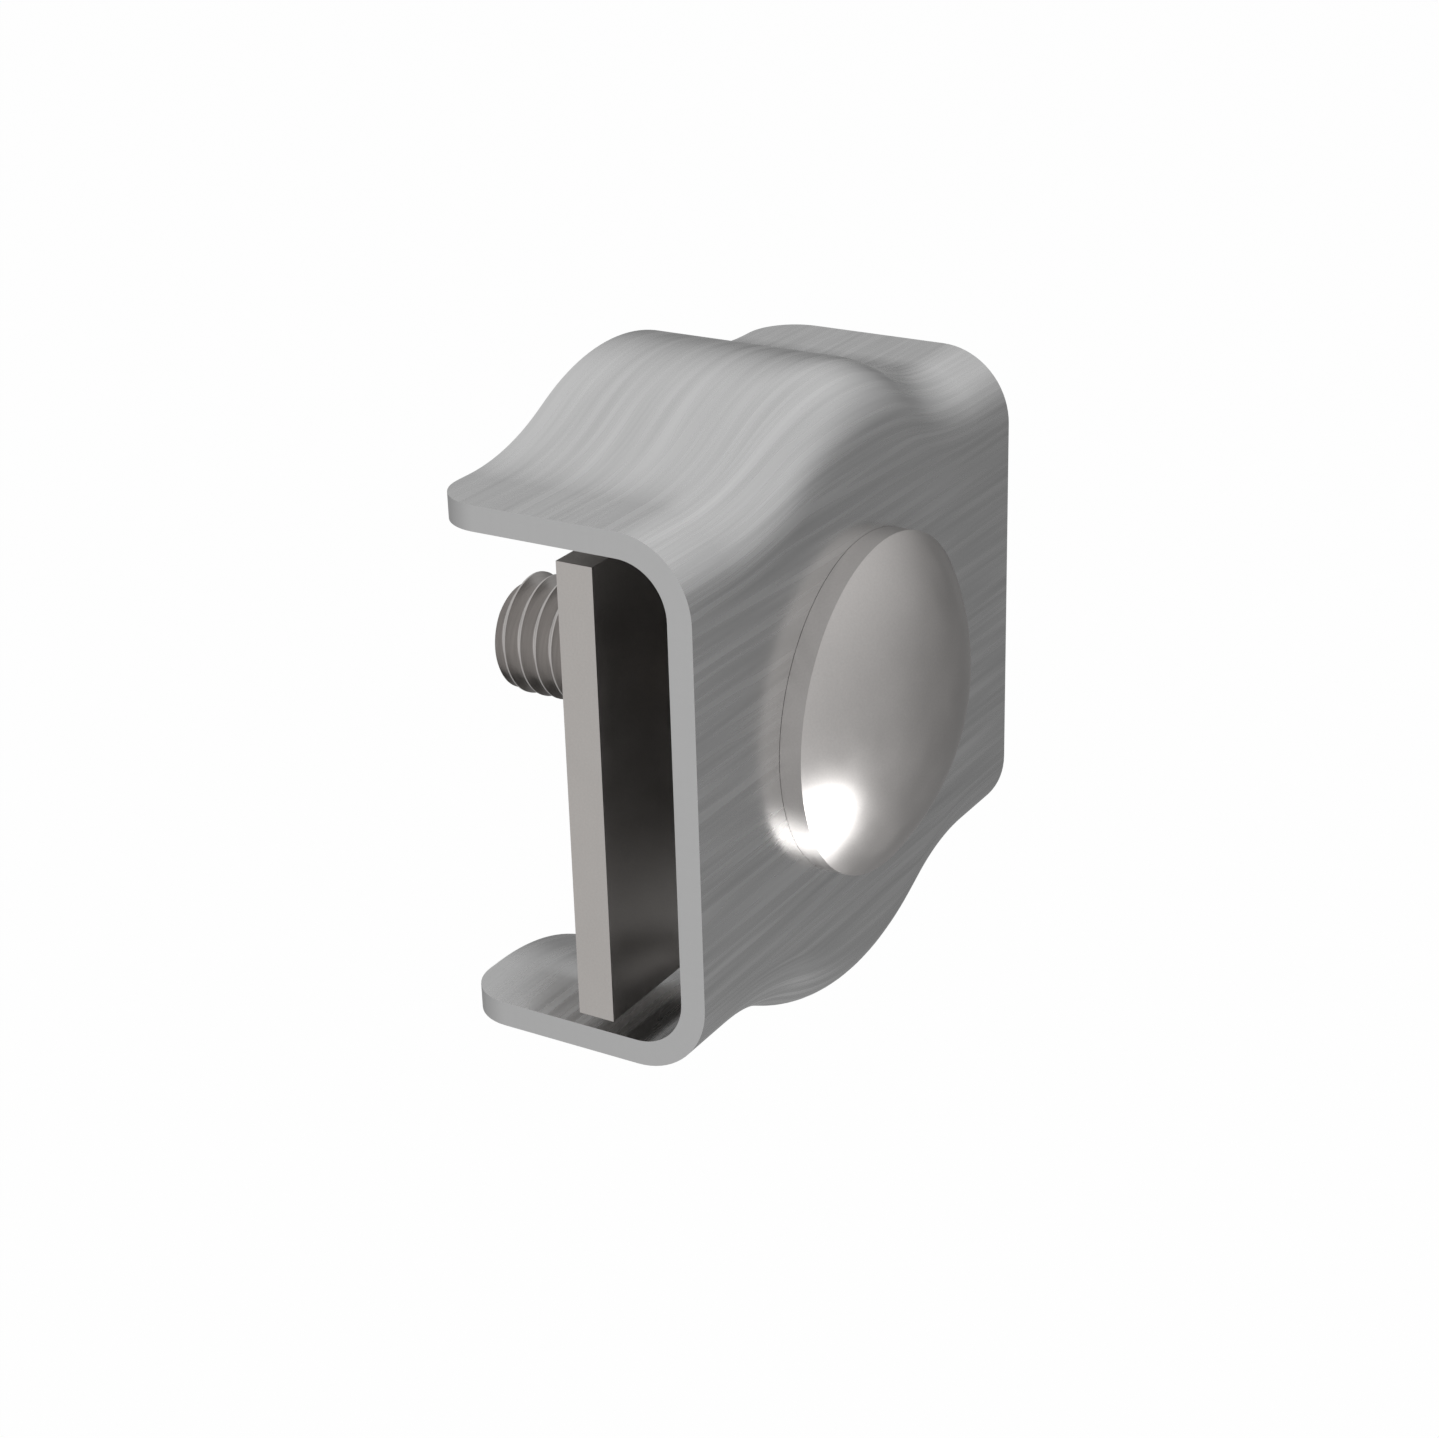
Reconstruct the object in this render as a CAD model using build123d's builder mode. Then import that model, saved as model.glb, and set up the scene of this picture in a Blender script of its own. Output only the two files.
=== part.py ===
# Wire rope clamp: a folded steel channel with humped flanges, a cup head bolt through its web,
# and a flat pressure plate that a nut draws towards the web to grip ropes laid along the channel.
#
# Frame, in millimetres: the origin is on the bolt's axis, at the inner face of the web, where the
# ropes lie. +X runs along the channel and the ropes, +Y from the web to the bolt's free end, +Z up.

from build123d import *
from math import cos, radians, tan
import os

# Folded sheet: length along X, height over the flat ends of the flanges, depth over the web
sheet = 2.0
channel_length = 50.0
channel_height = 42.0
channel_depth = 22.0
bend_inner_radius = 4.0
flange_corner_radius = 4.0

# Hump pressed outwards in both flanges: straight slopes joined by arcs, sizes on the outer face
hump_height = 5.0
hump_slope = 26.7
hump_crest_radius = 20.6
hump_foot_radius = 20.2

# Pressure plate, cut flush with the channel's ends, and the gap that it leaves for the ropes
plate_thickness = 3.0
plate_side_clearance = 1.0
rope_gap = 6.0

# Bolt: cup head with a plain domed face, square neck, shank at the thread's outer diameter
thread_diameter = 10.0
bolt_length = 31.7
bolt_end_chamfer = 0.5
head_diameter = 27.0
head_height = 6.5
head_rim = 1.8
neck_side = 10.4
neck_length = 3.0
neck_corner_radius = 1.2
neck_end_chamfer = 0.6

# Hexagon nut
nut_across_flats = 16.0
nut_height = 8.4
nut_face_angle = 30.0
nut_countersink = 0.6

# Clearances, each measured on one side
neck_clearance = 0.2
plate_hole_clearance = 0.5
nut_running_clearance = 0.05

# Places along the bolt's axis
web_outer_y = -sheet
flange_edge_y = channel_depth - sheet
plate_front_y = rope_gap
plate_back_y = plate_front_y + plate_thickness
nut_back_y = plate_back_y + nut_height

# Half widths shared by the pieces
flange_outer_z = channel_height / 2
flange_inner_z = flange_outer_z - sheet
crest_outer_z = flange_outer_z + hump_height
plate_half_height = flange_inner_z - plate_side_clearance
thread_radius = thread_diameter / 2
cut_margin = 5.0


def across_bolt(y):
    """Plane square to the bolt at this y, with its own X along +X and its normal along +Y."""
    return Plane(origin=(0, y, 0), x_dir=(1, 0, 0), z_dir=(0, 1, 0))


def folded_form(inset, half_length):
    """Solid inside the folded sheet's face that lies this far in from its outer face.

    Arcs that share a centre keep the wall even: inset by the sheet, a crest's radius loses the
    sheet's thickness and a foot's radius gains it, and so do the bends along the web.
    """
    half_height = flange_outer_z - inset
    crest_radius = hump_crest_radius - inset
    foot_radius = hump_foot_radius + inset
    bend_radius = bend_inner_radius + sheet - inset
    slope = radians(hump_slope)
    peak = hump_height + crest_radius * (1 / cos(slope) - 1)
    foot_x = peak / tan(slope)
    with BuildPart() as form:
        with BuildSketch(across_bolt(web_outer_y + inset)) as outline:
            with BuildLine():
                upper = FilletPolyline(
                    (-half_length, half_height),
                    (-foot_x, half_height),
                    (0, half_height + peak),
                    (foot_x, half_height),
                    (half_length, half_height),
                    radius=[foot_radius, crest_radius, foot_radius],
                )
                lower = mirror(upper, about=Plane.XZ)
                Line(upper @ 0, lower @ 0)
                Line(upper @ 1, lower @ 1)
            make_face()
        extrude(amount=channel_depth + cut_margin)
        web_edges = form.faces().sort_by(Axis.Y)[0].edges()
        fillet(web_edges.filter_by(lambda e: abs((e @ 0).X - (e @ 1).X) > sheet), radius=bend_radius)
    return form.part


# Channel: one folded sheet, open at both ends and along the back
with BuildPart() as clamp_body:
    add(folded_form(0, channel_length / 2))
    add(folded_form(sheet, channel_length / 2 + cut_margin), mode=Mode.SUBTRACT)
    # Plan view: the free corners of both flanges are rounded
    with BuildSketch(Plane.XY) as plan:
        with Locations((0, flange_edge_y)):
            Rectangle(channel_length, channel_depth, align=(Align.CENTER, Align.MAX))
        fillet(plan.vertices().group_by(Axis.Y)[-1], radius=flange_corner_radius)
    extrude(amount=crest_outer_z + cut_margin, both=True, mode=Mode.INTERSECT)
    # Square hole in the web that keeps the bolt's neck from turning
    with BuildSketch(across_bolt(web_outer_y)):
        hole_side = neck_side + 2 * neck_clearance
        RectangleRounded(hole_side, hole_side, neck_corner_radius + neck_clearance)
    extrude(amount=sheet, mode=Mode.SUBTRACT)

# Pressure plate: flat bar with one round hole for the bolt
with BuildPart() as pressure_plate:
    with BuildSketch(across_bolt(plate_front_y)):
        Rectangle(channel_length, 2 * plate_half_height)
        Circle(thread_radius + plate_hole_clearance, mode=Mode.SUBTRACT)
    extrude(amount=plate_thickness)

# Cup head bolt
with BuildPart() as cup_head_bolt:
    rim_y = web_outer_y - head_rim
    crown_y = web_outer_y - head_height
    dome_rise = head_height - head_rim
    dome_radius = ((head_diameter / 2) ** 2 + dome_rise**2) / (2 * dome_rise)
    with BuildSketch(Plane.XY):
        with BuildLine():
            Line((0, crown_y), (0, web_outer_y))
            Line((0, web_outer_y), (head_diameter / 2, web_outer_y))
            Line((head_diameter / 2, web_outer_y), (head_diameter / 2, rim_y))
            RadiusArc((head_diameter / 2, rim_y), (0, crown_y), dome_radius)
        make_face()
    revolve(axis=Axis.Y)
    with BuildSketch(across_bolt(web_outer_y)):
        RectangleRounded(neck_side, neck_side, neck_corner_radius)
    extrude(amount=neck_length)
    chamfer(cup_head_bolt.faces().sort_by(Axis.Y)[-1].edges(), length=neck_end_chamfer)
    with BuildSketch(across_bolt(web_outer_y)):
        Circle(thread_radius)
    extrude(amount=bolt_length)
    chamfer(cup_head_bolt.faces().sort_by(Axis.Y)[-1].edges(), length=bolt_end_chamfer)

# Hexagon nut behind the plate: both faces are turned down to a circle across the flats
with BuildPart() as hex_nut:
    with BuildSketch(across_bolt(plate_back_y)):
        RegularPolygon(nut_across_flats / 2, 6, major_radius=False)
    extrude(amount=nut_height)
    corner_radius = nut_across_flats / 2 / cos(radians(30))
    face_radius = nut_across_flats / 2
    face_drop = (corner_radius - face_radius) * tan(radians(nut_face_angle))
    with BuildSketch(Plane.XY):
        with BuildLine():
            Polyline(
                (0, plate_back_y),
                (face_radius, plate_back_y),
                (corner_radius, plate_back_y + face_drop),
                (corner_radius, nut_back_y - face_drop),
                (face_radius, nut_back_y),
                (0, nut_back_y),
                close=True,
            )
        make_face()
    revolve(axis=Axis.Y, mode=Mode.INTERSECT)
    with BuildSketch(across_bolt(plate_back_y)):
        Circle(thread_radius + nut_running_clearance)
    extrude(amount=nut_height, mode=Mode.SUBTRACT)
    chamfer(hex_nut.edges().filter_by(GeomType.CIRCLE).filter_by(
        lambda e: e.radius < thread_radius + nut_countersink), length=nut_countersink)

os.makedirs("parts", exist_ok=True)

clamp_body.part.label = "clamp_body"
export_step(clamp_body.part, "parts/clamp_body.step")

pressure_plate.part.label = "pressure_plate"
export_step(pressure_plate.part, "parts/pressure_plate.step")

cup_head_bolt.part.label = "cup_head_bolt"
export_step(cup_head_bolt.part, "parts/cup_head_bolt.step")

hex_nut.part.label = "hex_nut"
export_step(hex_nut.part, "parts/hex_nut.step")
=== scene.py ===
"""Wire rope clamp: the visible pieces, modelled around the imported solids, and the stage they stand on.

Everything is in metres, in the frame of the solids: the origin is on the bolt's axis at the web's
inner face, +X runs along the channel, +Y from the web to the bolt's free end, +Z up.
"""

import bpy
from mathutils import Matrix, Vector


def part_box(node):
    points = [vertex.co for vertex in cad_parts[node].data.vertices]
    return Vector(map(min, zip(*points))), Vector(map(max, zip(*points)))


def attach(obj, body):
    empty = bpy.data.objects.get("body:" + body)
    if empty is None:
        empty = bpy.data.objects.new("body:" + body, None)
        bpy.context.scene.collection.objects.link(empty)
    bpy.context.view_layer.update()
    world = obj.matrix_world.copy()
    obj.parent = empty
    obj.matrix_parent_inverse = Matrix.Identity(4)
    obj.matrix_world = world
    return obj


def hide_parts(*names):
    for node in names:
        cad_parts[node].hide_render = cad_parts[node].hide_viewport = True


bl_info = {
    "name": "Wire rope clamp",
    "version": (1, 0, 0),
    "blender": (4, 5, 0),
    "location": "View3D > Sidebar > Rope clamp",
    "description": "Folded channel, pressure plate, cup head bolt and nut of a wire rope clamp",
    "category": "Object",
}

import bmesh
import bpy
from math import asin, atan2, cos, pi, radians, sin, tan
from mathutils import Matrix, Vector

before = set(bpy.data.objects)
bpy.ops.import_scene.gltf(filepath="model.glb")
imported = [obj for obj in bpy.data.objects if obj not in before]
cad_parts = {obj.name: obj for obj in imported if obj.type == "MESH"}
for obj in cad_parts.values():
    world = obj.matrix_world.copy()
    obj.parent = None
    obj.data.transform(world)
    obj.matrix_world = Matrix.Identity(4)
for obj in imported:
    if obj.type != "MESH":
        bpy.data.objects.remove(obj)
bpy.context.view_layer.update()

channel_low, channel_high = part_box("clamp_body")
bolt_low, bolt_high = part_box("cup_head_bolt")
nut_low, nut_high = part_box("hex_nut")

MM = 0.001
# Places closer than FINE count as the same, and vertices closer than DOUBLE are merged
FINE = 1e-5
DOUBLE = 1e-6
# Faces that meet at more than this angle keep a sharp edge
CREASE = radians(25)
# Steps of a full turn: the head's wide rim, and the shank, its thread and the nut's bore
HEAD_STEPS = 144
ROUND_STEPS = 96
# Half of the angle between a thread's flanks
FLANK = radians(30)


def size_property(name, description, millimetres):
    """Length of a piece, shown in the panel in the scene's own units."""
    return bpy.props.FloatProperty(
        name=name, description=description, default=millimetres * MM, min=0.0, unit="LENGTH",
        precision=4)


def colour_property(name, description, colour):
    """Base colour of a finish."""
    return bpy.props.FloatVectorProperty(
        name=name, description=description, default=colour, size=3, min=0.0, max=1.0, subtype="COLOR")


class ChannelSizes(bpy.types.PropertyGroup):
    """Sizes of the folded sheet. Its length, height and depth come from the solid."""

    sheet: size_property("Sheet", "Thickness of the sheet", 2.0)
    bend_radius: size_property("Bend radius", "Outer radius where the web turns into a flange", 6.0)
    corner_radius: size_property("Corner radius", "Radius of the flanges' free corners", 4.0)
    hump_height: size_property("Hump height", "How far a hump stands out of its flange", 5.0)
    hump_slope: bpy.props.FloatProperty(
        name="Hump slope", description="Slope of a hump's straight sides", default=radians(26.7),
        subtype="ANGLE")
    crest_radius: size_property("Crest radius", "Outer radius of a hump's crest", 20.6)
    foot_radius: size_property("Foot radius", "Outer radius at a hump's feet", 20.2)
    hole_side: size_property("Hole side", "Side of the square hole in the web", 10.8)
    hole_corner_radius: size_property("Hole corner", "Corner radius of the square hole", 1.4)


class BoltSizes(bpy.types.PropertyGroup):
    """Sizes of the bolt and its thread. Its length and its head's width come from the solid."""

    head_height: size_property("Head height", "From the web's outer face to the crown", 6.5)
    head_rim: size_property("Head rim", "Height of the straight rim under the dome", 1.8)
    seat_gap: size_property("Seat gap", "Gap under the head's rim", 0.02)
    seat_step: size_property("Seat step", "How far the gap reaches under the head", 0.15)
    neck_side: size_property("Neck side", "Side of the square neck", 10.4)
    neck_length: size_property("Neck length", "From the head to the end of the square neck", 3.0)
    neck_corner_radius: size_property("Neck corner", "Corner radius of the square neck", 1.2)
    neck_chamfer: size_property("Neck chamfer", "Chamfer at the end of the square neck", 0.6)
    thread_diameter: size_property("Thread diameter", "Outer diameter of the thread", 10.0)
    thread_pitch: size_property("Thread pitch", "Travel of the nut in one turn", 1.5)
    thread_depth: size_property("Thread depth", "Depth of the thread's groove", 1.0)
    crest_flat: size_property("Crest flat", "Width of the thread's crest", 0.15)
    groove_start: size_property("Groove start", "Where the groove crosses the +X side", 1.41)
    end_chamfer: size_property("End chamfer", "Chamfer at the bolt's free end", 0.5)


class NutSizes(bpy.types.PropertyGroup):
    """Sizes of the nut. Its height and its width over the corners come from the solid."""

    face_angle: bpy.props.FloatProperty(
        name="Face angle", description="Slope of the turned edge of both faces", default=radians(30.0),
        subtype="ANGLE")
    minor_diameter: size_property("Minor diameter", "Diameter over the crests of the inner thread", 8.5)
    countersink: size_property("Countersink", "Depth of the countersink at both faces", 0.6)
    thread_clearance: size_property("Thread clearance", "Play between both threads, on one side", 0.06)


class FinishColours(bpy.types.PropertyGroup):
    """Base colours of the finishes."""

    brushed_sheet: colour_property("Brushed sheet", "Faces of the folded sheet", (0.60, 0.60, 0.60))
    cut_edge: colour_property("Cut edge", "Edges where the sheet was cut", (0.545, 0.545, 0.545))
    satin_plate: colour_property("Satin plate", "Pressure plate", (0.54, 0.515, 0.495))
    satin_fastener: colour_property("Satin fastener", "Bolt and nut", (0.575, 0.554, 0.541))
    thread: colour_property("Thread", "Rolled thread of the bolt", (0.505, 0.485, 0.472))
    floor: colour_property("Floor", "Floor under the clamp", (0.90, 0.90, 0.90))


class StageSizes(bpy.types.PropertyGroup):
    """Places of the camera and the floor."""

    camera_place: bpy.props.FloatVectorProperty(
        name="Camera place", description="Where the camera stands", subtype="XYZ", unit="LENGTH",
        default=(-178.599 * MM, -97.924 * MM, 87.991 * MM))
    camera_heading: bpy.props.FloatProperty(
        name="Camera heading", description="Turn of the view from +Y towards +X",
        default=radians(58.551), subtype="ANGLE")
    camera_drop: bpy.props.FloatProperty(
        name="Camera drop", description="Angle at which the camera looks down",
        default=radians(23.8), subtype="ANGLE")
    camera_roll: bpy.props.FloatProperty(
        name="Camera roll", description="Tilt of the picture", default=radians(-1.711), subtype="ANGLE")
    camera_lens: bpy.props.FloatProperty(
        name="Camera lens", description="Focal length on a sensor 36 mm wide", default=71.584,
        unit="CAMERA")
    floor_drop: size_property("Floor drop", "How far the floor lies below the bolt's axis", 250.0)


def deselect_all():
    """Leaves nothing selected, so that an operator acts on its own piece alone."""
    if bpy.context.object and bpy.context.object.mode != "OBJECT":
        bpy.ops.object.mode_set(mode="OBJECT")
    bpy.ops.object.select_all(action="DESELECT")


def name_new(name):
    """Names the object that was just added and puts its place into its mesh."""
    piece = bpy.context.object
    piece.name = name
    piece.data.name = name
    bpy.ops.object.transform_apply(location=True, rotation=True, scale=True)
    return piece


def make_active(piece):
    """Leaves this piece alone selected, for the next operator."""
    deselect_all()
    piece.select_set(True)
    bpy.context.view_layer.objects.active = piece


def pick(piece, kind, test):
    """Selects, in edit mode, the piece's verts, edges or faces that pass the test."""
    bpy.ops.mesh.select_mode(type={"verts": "VERT", "edges": "EDGE", "faces": "FACE"}[kind])
    bpy.ops.mesh.select_all(action="DESELECT")
    mesh = bmesh.from_edit_mesh(piece.data)
    for element in getattr(mesh, kind):
        if test(element):
            element.select_set(True)
    mesh.select_flush_mode()
    bmesh.update_edit_mesh(piece.data)


def start_outline(name, place):
    """A piece in edit mode that is a single selected vertex: a small plane merged to its centre."""
    deselect_all()
    bpy.ops.mesh.primitive_plane_add(size=MM, location=place)
    piece = name_new(name)
    bpy.ops.object.mode_set(mode="EDIT")
    bpy.ops.mesh.select_mode(type="VERT")
    bpy.ops.mesh.select_all(action="SELECT")
    bpy.ops.mesh.merge(type="CENTER")
    return piece


def draw_line(start, end):
    """Extrudes the outline's last vertex from start to end."""
    step = Vector(end) - Vector(start)
    bpy.ops.mesh.extrude_vertices_move(TRANSFORM_OT_translate={"value": step})
    return end


def draw_arc(centre, angle, steps, axis):
    """Turns the outline's last vertex about the centre, by the right-hand rule about the axis."""
    bpy.ops.mesh.spin(steps=steps, angle=-angle, center=centre, axis=axis)


def apply_modifier(piece, kind, name, **settings):
    """Adds a modifier with these settings to the piece and applies it."""
    make_active(piece)
    modifier = piece.modifiers.new(name, kind)
    for key, value in settings.items():
        setattr(modifier, key, value)
    bpy.ops.object.modifier_apply(modifier=modifier.name)


def combine(piece, tool, operation):
    """Cuts, joins or trims the piece with the tool by a Boolean, and removes the tool."""
    apply_modifier(
        piece, "BOOLEAN", operation.lower(), operation=operation, object=tool, solver="EXACT")
    mesh = tool.data
    bpy.data.objects.remove(tool)
    bpy.data.meshes.remove(mesh)


def close_mesh(piece):
    """Merges doubles and turns all faces outwards."""
    make_active(piece)
    bpy.ops.object.mode_set(mode="EDIT")
    bpy.ops.mesh.select_all(action="SELECT")
    bpy.ops.mesh.remove_doubles(threshold=DOUBLE)
    bpy.ops.mesh.normals_make_consistent(inside=False)
    bpy.ops.object.mode_set(mode="OBJECT")


def smooth(piece):
    """Smooth shading, sharp where faces meet at more than the crease angle."""
    make_active(piece)
    bpy.ops.object.shade_smooth_by_angle(angle=CREASE, keep_sharp_edges=False)
    apply_modifier(piece, "WEIGHTED_NORMAL", "normals", keep_sharp=True, weight=90)


class HumpLine:
    """Outer line of a flange over its hump, worked out from the driving sizes."""

    def __init__(self, sizes):
        self.half_length = channel_high.x
        self.flat = channel_high.z - sizes.hump_height
        self.slope = sizes.hump_slope
        self.crest_radius = sizes.crest_radius
        self.foot_radius = sizes.foot_radius
        self.crest_centre = channel_high.z - sizes.crest_radius
        rise = sizes.hump_height + sizes.crest_radius * (1 / cos(self.slope) - 1)
        self.crest_x = sizes.crest_radius * sin(self.slope)
        self.foot_x = rise / tan(self.slope) + sizes.foot_radius * tan(self.slope / 2)
        self.foot_top_x = self.foot_x - sizes.foot_radius * sin(self.slope)

    def height(self, x):
        """Height of the outer face over the bolt's axis."""
        across = abs(x)
        if across < self.crest_x:
            return self.crest_centre + (self.crest_radius**2 - across**2) ** 0.5
        if across < self.foot_top_x:
            drop = (across - self.crest_x) * tan(self.slope)
            return self.crest_centre + self.crest_radius * cos(self.slope) - drop
        if across < self.foot_x:
            inward = self.foot_x - across
            return self.flat + self.foot_radius - (self.foot_radius**2 - inward**2) ** 0.5
        return self.flat

    def developed(self, x):
        """Length along the line from the crest's middle to x."""
        across = abs(x)
        length = self.crest_radius * asin(min(across, self.crest_x) / self.crest_radius)
        length += (min(max(across, self.crest_x), self.foot_top_x) - self.crest_x) / cos(self.slope)
        if across > self.foot_top_x:
            inward = self.foot_x - min(across, self.foot_x)
            length += self.foot_radius * (self.slope - asin(inward / self.foot_radius))
        length += max(across - self.foot_x, 0.0)
        return length if x > 0 else -length


def draw_sheet(name, sizes):
    """Outer skin of the folded sheet: web, two humped flanges, bends and rounded free corners."""
    line = HumpLine(sizes)
    web_y = channel_low.y
    depth = channel_high.y - channel_low.y
    left = Vector((-line.half_length, web_y, line.flat))
    left_foot = Vector((-line.foot_x, web_y, line.flat))
    left_slope_low = Vector((-line.foot_top_x, web_y, line.height(line.foot_top_x)))
    left_slope_high = Vector((-line.crest_x, web_y, line.height(line.crest_x)))
    foot_centre = Vector((-line.foot_x, web_y, line.flat + line.foot_radius))
    crest_centre = Vector((0, web_y, line.crest_centre))
    along_y = (0, 1, 0)
    mirrored = Matrix.Diagonal((-1, 1, 1))
    foot_steps = 12
    crest_steps = 24
    bend_steps = 18
    corner_steps = 12

    skin = start_outline(name, left)
    draw_line(left, left_foot)
    draw_arc(foot_centre, -line.slope, foot_steps, along_y)
    draw_line(left_slope_low, left_slope_high)
    draw_arc(crest_centre, 2 * line.slope, crest_steps, along_y)
    draw_line(mirrored @ left_slope_high, mirrored @ left_slope_low)
    draw_arc(mirrored @ foot_centre, -line.slope, foot_steps, along_y)
    draw_line(mirrored @ left_foot, mirrored @ left)

    # Web between this line and its mirror image, then both flanges
    bpy.ops.mesh.select_all(action="SELECT")
    bpy.ops.mesh.duplicate()
    bpy.ops.transform.resize(value=(1, 1, -1), center_override=(0, 0, 0))
    bpy.ops.mesh.select_all(action="SELECT")
    bpy.ops.mesh.bridge_edge_loops()
    pick(skin, "edges", lambda e: e.verts[0].co.z * e.verts[1].co.z > 0)
    bpy.ops.mesh.extrude_region_move(TRANSFORM_OT_translate={"value": (0, depth, 0)})
    bpy.ops.mesh.select_all(action="SELECT")
    bpy.ops.mesh.normals_make_consistent(inside=False)

    def on_fold(edge):
        a, b = edge.verts
        return a.co.z * b.co.z > 0 and max(a.co.y, b.co.y) < web_y + FINE

    pick(skin, "edges", on_fold)
    bpy.ops.mesh.bevel(
        offset=sizes.bend_radius, offset_type="OFFSET", segments=bend_steps, profile=0.5,
        affect="EDGES", clamp_overlap=False)

    def at_free_corner(vertex):
        at_end = abs(vertex.co.x) > line.half_length - FINE
        return at_end and vertex.co.y > channel_high.y - FINE

    pick(skin, "verts", at_free_corner)
    bpy.ops.mesh.bevel(
        offset=sizes.corner_radius, offset_type="OFFSET", segments=corner_steps, profile=0.5,
        affect="VERTICES")
    bpy.ops.object.mode_set(mode="OBJECT")
    return skin


def rounded_bar(name, side, corner_radius, low_y, high_y):
    """Square bar along Y with rounded long edges."""
    edge_steps = 8
    deselect_all()
    bpy.ops.mesh.primitive_cube_add(
        size=1.0, location=(0, (low_y + high_y) / 2, 0), scale=(side, high_y - low_y, side))
    bar = name_new(name)
    bpy.ops.object.mode_set(mode="EDIT")
    pick(bar, "edges", lambda e: abs(e.verts[0].co.y - e.verts[1].co.y) > FINE)
    bpy.ops.mesh.bevel(offset=corner_radius, segments=edge_steps, profile=0.5, affect="EDGES")
    bpy.ops.object.mode_set(mode="OBJECT")
    return bar


def lay_grain(piece, sizes):
    """UV map in metres that unrolls the sheet: u runs with the brushing, v across it.

    On the web the brushing is straight, over the flanges it follows the hump, and the bends turn
    one into the other.
    """
    line = HumpLine(sizes)
    bend = sizes.bend_radius
    bend_centre_y = channel_low.y + bend
    flange_start = channel_high.z + bend
    grain = piece.data.uv_layers.new(name="grain")
    for loop in piece.data.loops:
        x, y, z = piece.data.vertices[loop.vertex_index].co
        web_end = line.height(x) - bend
        up = abs(z) - web_end
        if up <= 0:
            share = 0.0
            across = abs(z)
        elif y >= bend_centre_y:
            share = 1.0
            across = flange_start + y - bend_centre_y
        else:
            share = atan2(up, bend_centre_y - y) / (pi / 2)
            across = web_end + (flange_start - web_end) * share
        along = x + (line.developed(x) - x) * share
        grain.data[loop.index].uv = (along, across if z > 0 else -across)


def turned(name, outline):
    """Solid of revolution about the bolt's axis: outline is (radius, y) pairs, from axis to axis."""
    places = [Vector((radius, y, 0)) for radius, y in outline]
    piece = start_outline(name, places[0])
    for start, end in zip(places, places[1:]):
        draw_line(start, end)
    return spin_round(piece, ROUND_STEPS)


def spin_round(piece, steps):
    """Spins the drawn outline once about the bolt's axis and closes it."""
    bpy.ops.mesh.select_all(action="SELECT")
    bpy.ops.mesh.spin(steps=steps, angle=2 * pi, center=(0, 0, 0), axis=(0, 1, 0))
    bpy.ops.object.mode_set(mode="OBJECT")
    close_mesh(piece)
    return piece


def helix(name, section, pitch, turns):
    """Right-handed helical bar about the bolt's axis: section is its closed (radius, y) outline."""
    places = [Vector((radius, y, 0)) for radius, y in section]
    bar = start_outline(name, places[0])
    for start, end in zip(places, places[1:]):
        draw_line(start, end)
    # A face over the outline adds its closing edge, and then goes again
    bpy.ops.mesh.select_all(action="SELECT")
    bpy.ops.mesh.edge_face_add()
    bpy.ops.mesh.delete(type="ONLY_FACE")
    bpy.ops.object.mode_set(mode="OBJECT")
    apply_modifier(
        bar, "SCREW", "screw", axis="Y", angle=2 * pi, screw_offset=pitch, iterations=turns,
        steps=ROUND_STEPS, render_steps=ROUND_STEPS)
    bpy.ops.object.mode_set(mode="EDIT")
    pick(bar, "edges", lambda e: e.is_boundary)
    bpy.ops.mesh.fill_holes(sides=len(section))
    bpy.ops.object.mode_set(mode="OBJECT")
    close_mesh(bar)
    return bar


def groove_section(sizes):
    """Section of the groove between two turns of the bolt's thread: two flanks and a round root."""
    outer = sizes.thread_diameter / 2
    # The cutter stands out past the shank, so that no faces coincide
    mouth = outer + 0.05 * MM
    free = outer + 0.4 * MM
    wide = (sizes.thread_pitch - sizes.crest_flat) / 2
    mouth_half = wide + (mouth - outer) * tan(FLANK)
    # Both flanks would meet at the tip, where the root's circle rounds them off
    tip = outer - wide / tan(FLANK)
    root_radius = outer - sizes.thread_depth - tip
    root_centre = tip + root_radius / sin(FLANK)
    root_steps = 8
    root = []
    for step in range(root_steps + 1):
        turn = (pi / 2 - FLANK) * (1 - 2 * step / root_steps)
        root.append((root_centre - root_radius * cos(turn), root_radius * sin(turn)))
    return [(free, mouth_half), (mouth, mouth_half), *root, (mouth, -mouth_half), (free, -mouth_half)]


def ridge_section(bolt, nut):
    """Section that the bolt's ridge sweeps in the nut, with the play between both threads."""
    outer = bolt.thread_diameter / 2
    play = nut.thread_clearance / cos(FLANK)
    tip = outer + nut.thread_clearance
    # The cutter starts inside the bore, so that no faces coincide
    base = nut.minor_diameter / 2 - 0.15 * MM
    upper = [
        (base, bolt.crest_flat / 2 + (outer - base) * tan(FLANK) + play),
        (tip, bolt.crest_flat / 2 + (outer - tip) * tan(FLANK) + play),
    ]
    return upper + [(radius, -half) for radius, half in reversed(upper)]


def swept_thread(name, section, middle_y, low_y, high_y, pitch):
    """Helical bar from below low_y to past high_y, its middle at middle_y on the +X side."""
    turns_below = int((middle_y - low_y) / pitch) + 1
    start_y = middle_y - turns_below * pitch
    turns = int((high_y - start_y) / pitch) + 2
    return helix(name, [(radius, start_y + half) for radius, half in section], pitch, turns)


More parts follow.
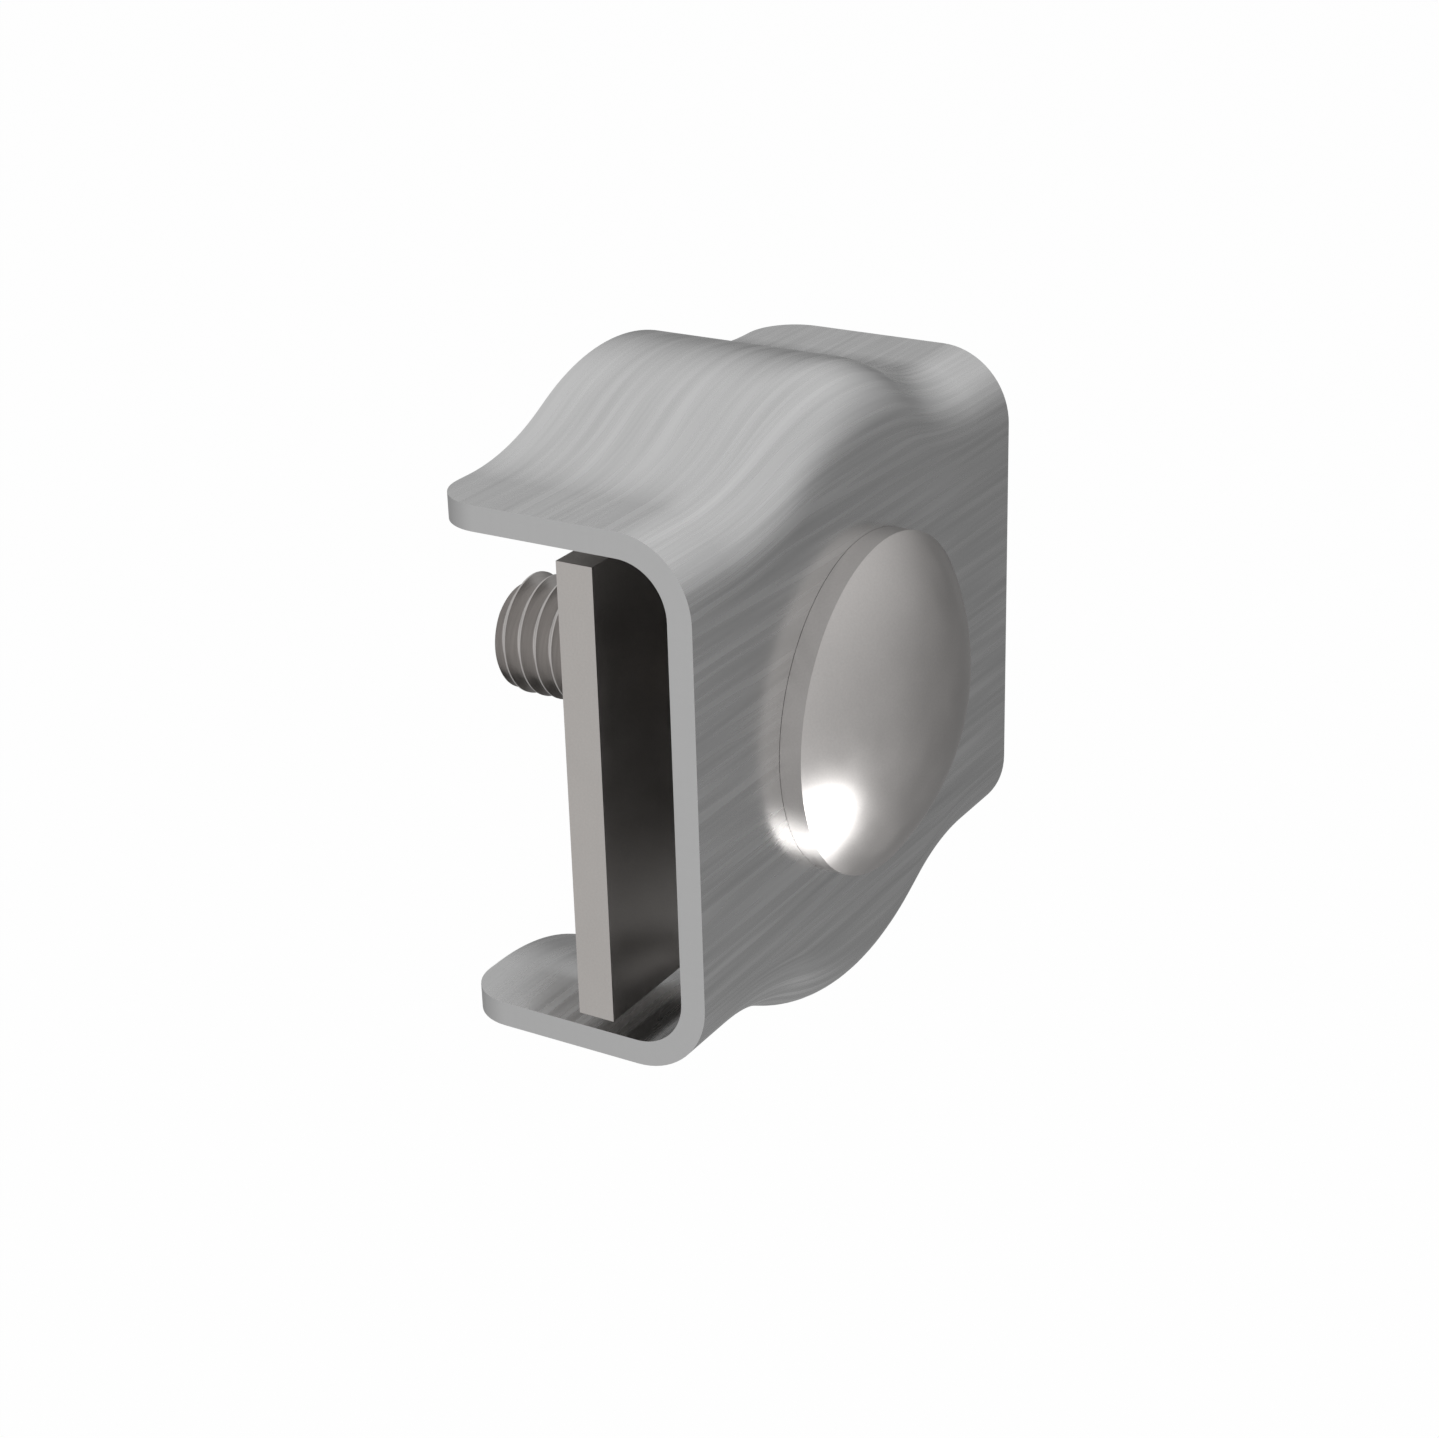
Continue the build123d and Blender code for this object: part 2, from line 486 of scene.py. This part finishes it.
def model_bolt(name, sizes):
    """Cup head, square neck and threaded shank in one closed mesh."""
    base_y = channel_low.y
    rim_y = base_y - sizes.head_rim
    crown_y = base_y - sizes.head_height
    half_width = bolt_high.x
    rise = sizes.head_height - sizes.head_rim
    dome_radius = (half_width**2 + rise**2) / (2 * rise)
    dome_angle = asin(half_width / dome_radius)
    dome_steps = 28
    crown = Vector((0, crown_y, 0))
    bolt = start_outline(name, crown)
    draw_arc(crown + Vector((0, dome_radius, 0)), dome_angle, dome_steps, (0, 0, 1))
    under_y = base_y - sizes.seat_gap
    rim = draw_line((half_width, rim_y, 0), (half_width, under_y, 0))
    seat = draw_line(rim, (half_width - sizes.seat_step, under_y, 0))
    edge = draw_line(seat, (half_width - sizes.seat_step, base_y, 0))
    draw_line(edge, (0, base_y, 0))
    spin_round(bolt, HEAD_STEPS)

    # Neck and shank start inside the head
    neck_low = base_y - sizes.head_rim / 2
    neck_high = base_y + sizes.neck_length
    neck = rounded_bar("neck", sizes.neck_side, sizes.neck_corner_radius, neck_low, neck_high)
    make_active(neck)
    bpy.ops.object.mode_set(mode="EDIT")
    pick(neck, "edges", lambda e: min(v.co.y for v in e.verts) > neck_high - FINE)
    bpy.ops.mesh.bevel(offset=sizes.neck_chamfer, segments=1, affect="EDGES")
    bpy.ops.object.mode_set(mode="OBJECT")

    deselect_all()
    end_y = bolt_high.y
    bpy.ops.mesh.primitive_cylinder_add(
        vertices=ROUND_STEPS, radius=sizes.thread_diameter / 2, depth=end_y - neck_low,
        location=(0, (end_y + neck_low) / 2, 0), rotation=(pi / 2, 0, 0))
    shank = name_new("shank")
    bpy.ops.object.mode_set(mode="EDIT")
    pick(shank, "edges", lambda e: min(v.co.y for v in e.verts) > end_y - FINE)
    bpy.ops.mesh.bevel(offset=sizes.end_chamfer, segments=1, affect="EDGES")
    bpy.ops.object.mode_set(mode="OBJECT")
    groove = swept_thread(
        "groove", groove_section(sizes), sizes.groove_start, base_y / 2, end_y + sizes.thread_pitch,
        sizes.thread_pitch)
    combine(shank, groove, "DIFFERENCE")
    close_mesh(shank)
    combine(bolt, neck, "UNION")
    combine(bolt, shank, "UNION")
    close_mesh(bolt)
    return bolt


def shade_thread(bolt, sizes):
    """Gives the shank past the neck the second material."""
    neck_end = channel_low.y + sizes.neck_length
    for face in bolt.data.polygons:
        x, y, z = face.center
        if y > neck_end + FINE and (x * x + z * z) ** 0.5 < sizes.thread_diameter / 2 + FINE:
            face.material_index = 1


def model_nut(name, bolt_sizes, sizes):
    """Hexagon nut: both faces turned down at the corners, the bore countersunk and threaded."""
    low_y = nut_low.y
    high_y = nut_high.y
    corner = nut_high.x
    half_side = radians(30)
    flat = corner * cos(half_side)
    # The turned edges' cutter reaches past the corners
    beyond = corner + MM
    drop_beyond = (beyond - flat) * tan(sizes.face_angle)
    deselect_all()
    bpy.ops.mesh.primitive_cylinder_add(
        vertices=6, radius=corner, depth=high_y - low_y, location=(0, (low_y + high_y) / 2, 0),
        rotation=(pi / 2, 0, 0))
    nut = name_new(name)
    bpy.ops.object.mode_set(mode="EDIT")
    bpy.ops.mesh.select_all(action="SELECT")
    bpy.ops.transform.rotate(value=half_side, orient_axis="Y", center_override=(0, 0, 0))
    bpy.ops.object.mode_set(mode="OBJECT")
    envelope = turned(
        "envelope",
        [(0, low_y), (flat, low_y), (beyond, low_y + drop_beyond),
         (beyond, high_y - drop_beyond), (flat, high_y), (0, high_y)])
    combine(nut, envelope, "INTERSECT")
    minor = sizes.minor_diameter / 2
    mouth = bolt_sizes.thread_diameter / 2 + sizes.thread_clearance + sizes.countersink
    slope_end = mouth - minor
    bore = turned(
        "bore",
        [(0, low_y - MM), (mouth + MM, low_y - MM),
         (minor, low_y + slope_end), (minor, high_y - slope_end),
         (mouth + MM, high_y + MM), (0, high_y + MM)])
    combine(nut, bore, "DIFFERENCE")
    pitch = bolt_sizes.thread_pitch
    ridge_start = bolt_sizes.groove_start + pitch / 2
    ridge = swept_thread(
        "ridge", ridge_section(bolt_sizes, sizes), ridge_start, low_y - pitch, high_y + pitch, pitch)
    combine(nut, ridge, "DIFFERENCE")
    return nut


class Finish:
    """Node tree of one metal finish, built step by step."""

    def __init__(self, name):
        self.material = bpy.data.materials.new(name)
        self.material.use_nodes = True
        self.nodes = self.material.node_tree.nodes
        self.links = self.material.node_tree.links
        self.shader = self.nodes["Principled BSDF"]
        self.shader.inputs["Metallic"].default_value = 1.0

    def add(self, kind, **settings):
        """New node of this kind with these settings."""
        node = self.nodes.new(kind)
        for key, value in settings.items():
            setattr(node, key, value)
        return node

    def link(self, source, target):
        """Feeds an output into an input."""
        self.links.new(source, target)

    def grain(self, coordinates, scale, detail):
        """Noise stretched by its scale along each axis, in repeats per metre."""
        mapping = self.add("ShaderNodeMapping")
        mapping.inputs["Scale"].default_value = scale
        noise = self.add("ShaderNodeTexNoise")
        noise.inputs["Scale"].default_value = 1.0
        noise.inputs["Detail"].default_value = detail
        noise.inputs["Roughness"].default_value = 0.6
        self.link(coordinates, mapping.inputs["Vector"])
        self.link(mapping.outputs["Vector"], noise.inputs["Vector"])
        return noise.outputs["Fac"]

    def spread(self, value, low, high):
        """Turns noise, most of which lies near its centre, into a value between low and high."""
        centre = 0.5
        reach = 0.2
        span = self.add("ShaderNodeMapRange")
        span.inputs["From Min"].default_value = centre - reach
        span.inputs["From Max"].default_value = centre + reach
        span.inputs["To Min"].default_value = low
        span.inputs["To Max"].default_value = high
        self.link(value, span.inputs["Value"])
        return span.outputs["Result"]

    def tint(self, colour, amount):
        """Base colour: the given colour times an amount near 1."""
        scale = self.add("ShaderNodeVectorMath", operation="SCALE")
        scale.inputs[0].default_value = colour
        self.link(amount, scale.inputs["Scale"])
        self.link(scale.outputs["Vector"], self.shader.inputs["Base Color"])

    def dull(self, roughness):
        """Roughness: 0 for a mirror, 1 for a matt face."""
        self.link(roughness, self.shader.inputs["Roughness"])

    def emboss(self, height, distance):
        """Lets the light see the height as relief this deep."""
        bump = self.add("ShaderNodeBump")
        bump.inputs["Strength"].default_value = 1.0
        bump.inputs["Distance"].default_value = distance
        self.link(height, bump.inputs["Height"])
        self.link(bump.outputs["Normal"], self.shader.inputs["Normal"])

    def add_up(self, first, second, share):
        """first and second mixed, share of the second."""
        mix = self.add("ShaderNodeMix", data_type="FLOAT")
        mix.inputs["Factor"].default_value = share
        self.link(first, mix.inputs["A"])
        self.link(second, mix.inputs["B"])
        return mix.outputs["Result"]


def brushed_sheet(colour):
    """Sheet brushed before folding: streaks some 20 mm long that follow the unrolled map."""
    finish = Finish("brushed_sheet")
    unrolled = finish.add("ShaderNodeUVMap", uv_map="grain").outputs["UV"]
    long_streaks = finish.grain(unrolled, (45.0, 1150.0, 1.0), detail=1.0)
    fine_streaks = finish.grain(unrolled, (85.0, 2600.0, 1.0), detail=0.0)
    bands = finish.grain(unrolled, (28.0, 340.0, 1.0), detail=1.0)
    streaks = finish.add_up(long_streaks, fine_streaks, 0.2)
    finish.tint(colour, finish.spread(finish.add_up(streaks, bands, 0.35), 0.88, 1.12))
    finish.dull(finish.spread(streaks, 0.22, 0.31))
    finish.emboss(long_streaks, 0.001 * MM)
    return finish.material


def cut_edge(colour):
    """Sheared edge of the sheet, with faint marks half a millimetre wide."""
    finish = Finish("cut_edge")
    unrolled = finish.add("ShaderNodeUVMap", uv_map="grain").outputs["UV"]
    marks = finish.grain(unrolled, (1900.0, 1900.0, 1.0), detail=3.0)
    finish.tint(colour, finish.spread(marks, 0.985, 1.015))
    finish.dull(finish.spread(marks, 0.36, 0.44))
    finish.emboss(marks, 0.001 * MM)
    return finish.material


def satin_steel(name, colour, roughness, edge_shine=1.0):
    """Plain satin steel with a fine even grain. edge_shine scales what it reflects at flat angles."""
    roughness_play = 0.03
    finish = Finish(name)
    finish.shader.inputs["Specular Tint"].default_value = (edge_shine, edge_shine, edge_shine, 1.0)
    place = finish.add("ShaderNodeTexCoord").outputs["Object"]
    grain = finish.grain(place, (6000.0, 6000.0, 6000.0), detail=2.0)
    clouds = finish.grain(place, (220.0, 220.0, 220.0), detail=2.0)
    finish.tint(colour, finish.spread(finish.add_up(grain, clouds, 0.35), 0.95, 1.05))
    finish.dull(finish.spread(clouds, roughness - roughness_play, roughness + roughness_play))
    finish.emboss(grain, 0.0002 * MM)
    return finish.material


def rolled_thread(colour):
    """Rolled thread: fine lines that run round the bolt, side by side along it."""
    finish = Finish("rolled_thread")
    place = finish.add("ShaderNodeTexCoord").outputs["Object"]
    lines = finish.grain(place, (160.0, 9000.0, 160.0), detail=2.0)
    finish.tint(colour, finish.spread(lines, 0.92, 1.08))
    finish.dull(finish.spread(lines, 0.28, 0.34))
    finish.emboss(lines, 0.001 * MM)
    return finish.material


def plain_floor(colour):
    """Pale floor: camera, metal and glass see it nearly white, with a faint share of its shadow."""
    white_share = 0.97
    material = bpy.data.materials.new("floor")
    material.use_nodes = True
    nodes = material.node_tree.nodes
    links = material.node_tree.links
    shader = nodes["Principled BSDF"]
    shader.inputs["Base Color"].default_value = (*colour, 1.0)
    shader.inputs["Roughness"].default_value = 0.9
    white = nodes.new("ShaderNodeEmission")
    white.inputs["Strength"].default_value = 1.0
    seen = background_rays(nodes, links)
    share = nodes.new("ShaderNodeMath")
    share.operation = "MULTIPLY"
    share.inputs[1].default_value = white_share
    mix = nodes.new("ShaderNodeMixShader")
    links.new(seen, share.inputs[0])
    links.new(share.outputs["Value"], mix.inputs["Fac"])
    links.new(shader.outputs["BSDF"], mix.inputs[1])
    links.new(white.outputs["Emission"], mix.inputs[2])
    links.new(mix.outputs["Shader"], nodes["Material Output"].inputs["Surface"])
    return material


def background_rays(nodes, links):
    """1 for the rays that should see the plain background: camera, glossy and transmission rays."""
    path = nodes.new("ShaderNodeLightPath")
    glossy = nodes.new("ShaderNodeMath")
    glossy.operation = "MAXIMUM"
    both = nodes.new("ShaderNodeMath")
    both.operation = "MAXIMUM"
    links.new(path.outputs["Is Camera Ray"], glossy.inputs[0])
    links.new(path.outputs["Is Glossy Ray"], glossy.inputs[1])
    links.new(glossy.outputs["Value"], both.inputs[0])
    links.new(path.outputs["Is Transmission Ray"], both.inputs[1])
    return both.outputs["Value"]


def set_world(level):
    """White background, and an even light of this level from all sides for everything else."""
    world = bpy.data.worlds.new("studio")
    world.use_nodes = True
    bpy.context.scene.world = world
    nodes = world.node_tree.nodes
    links = world.node_tree.links
    background = nodes["Background"]
    background.inputs["Color"].default_value = (1.0, 1.0, 1.0, 1.0)
    strength = nodes.new("ShaderNodeMapRange")
    strength.inputs["To Min"].default_value = level
    strength.inputs["To Max"].default_value = 1.0
    links.new(background_rays(nodes, links), strength.inputs["Value"])
    links.new(strength.outputs["Result"], background.inputs["Strength"])


def direction(azimuth, elevation):
    """Unit vector: azimuth from +Y towards +X, elevation above the horizon."""
    flat = cos(elevation)
    return Vector((sin(azimuth) * flat, cos(azimuth) * flat, sin(elevation)))


def add_lamp(name, azimuth, elevation, distance, width, height, watts):
    """Soft area lamp that shines on the bolt's axis. The camera doesn't see it."""
    deselect_all()
    bpy.ops.object.light_add(type="AREA")
    lamp = bpy.context.object
    lamp.name = name
    lamp.data.shape = "ELLIPSE"
    lamp.data.size = width
    lamp.data.size_y = height
    lamp.data.energy = watts
    place = direction(radians(azimuth), radians(elevation)) * distance
    turn = (-place).to_track_quat("-Z", "Y").to_matrix().to_4x4()
    lamp.matrix_world = Matrix.Translation(place) @ turn
    lamp.visible_camera = False
    return lamp


def fade(nodes, links, heading, towards, start, end):
    """0 where the heading's share along the direction is below start, and 1 where it is past end."""
    share = nodes.new("ShaderNodeVectorMath")
    share.operation = "DOT_PRODUCT"
    share.inputs[1].default_value = towards
    span = nodes.new("ShaderNodeMapRange")
    span.inputs["From Min"].default_value = start
    span.inputs["From Max"].default_value = end
    links.new(heading, share.inputs[0])
    links.new(share.outputs["Value"], span.inputs["Value"])
    return span.outputs["Result"]


def graded_paper():
    """Glow of the tent: dark towards +X, lighter towards -X, and even above."""
    dark_side = 0.225
    light_side = 0.85
    above = 0.80
    towards_light_side = (-1, -0.11, 0.27)
    towards_above = (0.09, -0.09, 1)
    above_start = 0.13
    above_end = 0.65
    material = bpy.data.materials.new("light_tent")
    material.use_nodes = True
    nodes = material.node_tree.nodes
    links = material.node_tree.links
    place = nodes.new("ShaderNodeTexCoord")
    heading = nodes.new("ShaderNodeVectorMath")
    heading.operation = "NORMALIZE"
    links.new(place.outputs["Object"], heading.inputs[0])
    sideways = nodes.new("ShaderNodeMapRange")
    sideways.inputs["To Min"].default_value = dark_side
    sideways.inputs["To Max"].default_value = light_side
    blend = nodes.new("ShaderNodeMix")
    blend.inputs["B"].default_value = above
    glow = nodes.new("ShaderNodeEmission")
    lighter = fade(nodes, links, heading.outputs["Vector"], towards_light_side, -1, 1)
    upwards = fade(nodes, links, heading.outputs["Vector"], towards_above, above_start, above_end)
    links.new(lighter, sideways.inputs["Value"])
    links.new(sideways.outputs["Result"], blend.inputs["A"])
    links.new(upwards, blend.inputs["Factor"])
    links.new(blend.outputs["Result"], glow.inputs["Strength"])
    links.new(glow.outputs["Emission"], nodes["Material Output"].inputs["Surface"])
    return material


def add_tent(radius, low_z, high_z):
    """Closed drum of graded paper round the clamp that only shows in the metal's reflections."""
    deselect_all()
    bpy.ops.mesh.primitive_cylinder_add(
        vertices=64, radius=radius, depth=high_z - low_z, location=(0, 0, (low_z + high_z) / 2))
    tent = name_new("light_tent")
    tent.visible_camera = False
    tent.visible_diffuse = False
    tent.visible_shadow = False
    tent.visible_transmission = False
    tent.data.materials.append(graded_paper())


def add_camera(stage):
    """Camera at its place and heading, looking down by its drop and rolled about its view."""
    bpy.ops.object.camera_add()
    camera = bpy.context.object
    camera.name = "camera"
    ahead = direction(stage.camera_heading, -stage.camera_drop)
    level_right = Vector((cos(stage.camera_heading), -sin(stage.camera_heading), 0))
    level_up = level_right.cross(ahead)
    roll = stage.camera_roll
    right = cos(roll) * level_right + sin(roll) * level_up
    up = cos(roll) * level_up - sin(roll) * level_right
    turn = Matrix((right, up, -ahead)).transposed().to_4x4()
    camera.matrix_world = Matrix.Translation(stage.camera_place) @ turn
    camera.data.sensor_fit = "HORIZONTAL"
    camera.data.sensor_width = 36.0
    camera.data.lens = stage.camera_lens
    camera.data.clip_start = 0.01
    bpy.context.scene.camera = camera


class CLAMP_OT_fold_channel(bpy.types.Operator):
    """Model the folded sheet with its humped flanges"""

    bl_idname = "clamp.fold_channel"
    bl_label = "Fold channel"

    def execute(self, context):
        sizes = context.scene.clamp_channel
        colours = context.scene.clamp_colours
        channel = draw_sheet("folded_channel", sizes)
        channel.data.materials.append(brushed_sheet(colours.brushed_sheet))
        channel.data.materials.append(cut_edge(colours.cut_edge))
        apply_modifier(
            channel, "SOLIDIFY", "thickness", thickness=sizes.sheet, offset=-1.0, use_even_offset=True,
            use_quality_normals=True, material_offset_rim=1)
        hole = rounded_bar(
            "neck_hole", sizes.hole_side, sizes.hole_corner_radius, channel_low.y - MM,
            channel_low.y + sizes.sheet + MM)
        combine(channel, hole, "DIFFERENCE")
        lay_grain(channel, sizes)
        smooth(channel)
        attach(channel, "clamp")
        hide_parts("clamp_body")
        return {"FINISHED"}


class CLAMP_OT_finish_plate(bpy.types.Operator):
    """Give the pressure plate its satin finish"""

    bl_idname = "clamp.finish_plate"
    bl_label = "Finish plate"

    def execute(self, context):
        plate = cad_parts["pressure_plate"]
        plate.data.materials.clear()
        plate.data.materials.append(
            satin_steel("satin_plate", context.scene.clamp_colours.satin_plate, roughness=0.38))
        return {"FINISHED"}


class CLAMP_OT_make_bolt(bpy.types.Operator):
    """Model the cup head bolt with its square neck and thread"""

    bl_idname = "clamp.make_bolt"
    bl_label = "Make bolt"

    def execute(self, context):
        bolt = model_bolt("threaded_bolt", context.scene.clamp_bolt)
        bolt.data.materials.clear()
        bolt.data.materials.append(
            satin_steel(
                "satin_bolt", context.scene.clamp_colours.satin_fastener, roughness=0.31,
                edge_shine=0.8))
        bolt.data.materials.append(rolled_thread(context.scene.clamp_colours.thread))
        shade_thread(bolt, context.scene.clamp_bolt)
        smooth(bolt)
        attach(bolt, "clamp")
        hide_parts("cup_head_bolt")
        return {"FINISHED"}


class CLAMP_OT_make_nut(bpy.types.Operator):
    """Model the hexagon nut with its thread"""

    bl_idname = "clamp.make_nut"
    bl_label = "Make nut"

    def execute(self, context):
        nut = model_nut("threaded_nut", context.scene.clamp_bolt, context.scene.clamp_nut)
        nut.data.materials.clear()
        nut.data.materials.append(
            satin_steel("satin_nut", context.scene.clamp_colours.satin_fastener, roughness=0.32))
        smooth(nut)
        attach(nut, "nut")
        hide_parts("hex_nut")
        return {"FINISHED"}


class CLAMP_OT_set_stage(bpy.types.Operator):
    """Set the floor, the soft light and the camera"""

    bl_idname = "clamp.set_stage"
    bl_label = "Set stage"

    def execute(self, context):
        scene = context.scene
        stage = scene.clamp_stage
        deselect_all()
        floor_size = 8.0
        bpy.ops.mesh.primitive_plane_add(size=floor_size, location=(0, 0, -stage.floor_drop))
        floor = name_new("floor")
        floor.data.materials.append(plain_floor(scene.clamp_colours.floor))
        set_world(level=0.7)
        softbox = add_lamp(
            "upper_softbox", azimuth=60, elevation=60, distance=0.8, width=0.7, height=0.5, watts=1.0)
        softbox.visible_glossy = False
        add_lamp(
            "low_front_lamp", azimuth=184.5, elevation=-52, distance=0.2, width=0.095, height=0.115,
            watts=0.195)
        above_floor = 0.01
        add_tent(radius=0.8, low_z=above_floor - stage.floor_drop, high_z=1.0)
        add_camera(stage)
        scene.view_settings.view_transform = "Standard"
        return {"FINISHED"}


class CLAMP_PT_sidebar(bpy.types.Panel):
    """Lists the sizes and colours, and a button for each piece and the stage"""

    bl_label = "Rope clamp"
    bl_idname = "CLAMP_PT_sidebar"
    bl_space_type = "VIEW_3D"
    bl_region_type = "UI"
    bl_category = "Rope clamp"

    def draw(self, context):
        for name, group in GROUPS.items():
            box = self.layout.box()
            for setting in group.__annotations__:
                box.prop(getattr(context.scene, name), setting)
        for step in STEPS:
            self.layout.operator(step.bl_idname)


STEPS = (
    CLAMP_OT_fold_channel,
    CLAMP_OT_finish_plate,
    CLAMP_OT_make_bolt,
    CLAMP_OT_make_nut,
    CLAMP_OT_set_stage,
)
GROUPS = {
    "clamp_channel": ChannelSizes,
    "clamp_bolt": BoltSizes,
    "clamp_nut": NutSizes,
    "clamp_colours": FinishColours,
    "clamp_stage": StageSizes,
}


def register():
    for kind in (*GROUPS.values(), *STEPS, CLAMP_PT_sidebar):
        bpy.utils.register_class(kind)
    for name, group in GROUPS.items():
        setattr(bpy.types.Scene, name, bpy.props.PointerProperty(type=group))


def unregister():
    for name in GROUPS:
        delattr(bpy.types.Scene, name)
    for kind in reversed((*GROUPS.values(), *STEPS, CLAMP_PT_sidebar)):
        bpy.utils.unregister_class(kind)


def main():
    """Builds all the pieces and the stage."""
    register()
    bpy.ops.clamp.fold_channel()
    bpy.ops.clamp.finish_plate()
    bpy.ops.clamp.make_bolt()
    bpy.ops.clamp.make_nut()
    bpy.ops.clamp.set_stage()


if __name__ == "__main__":
    main()
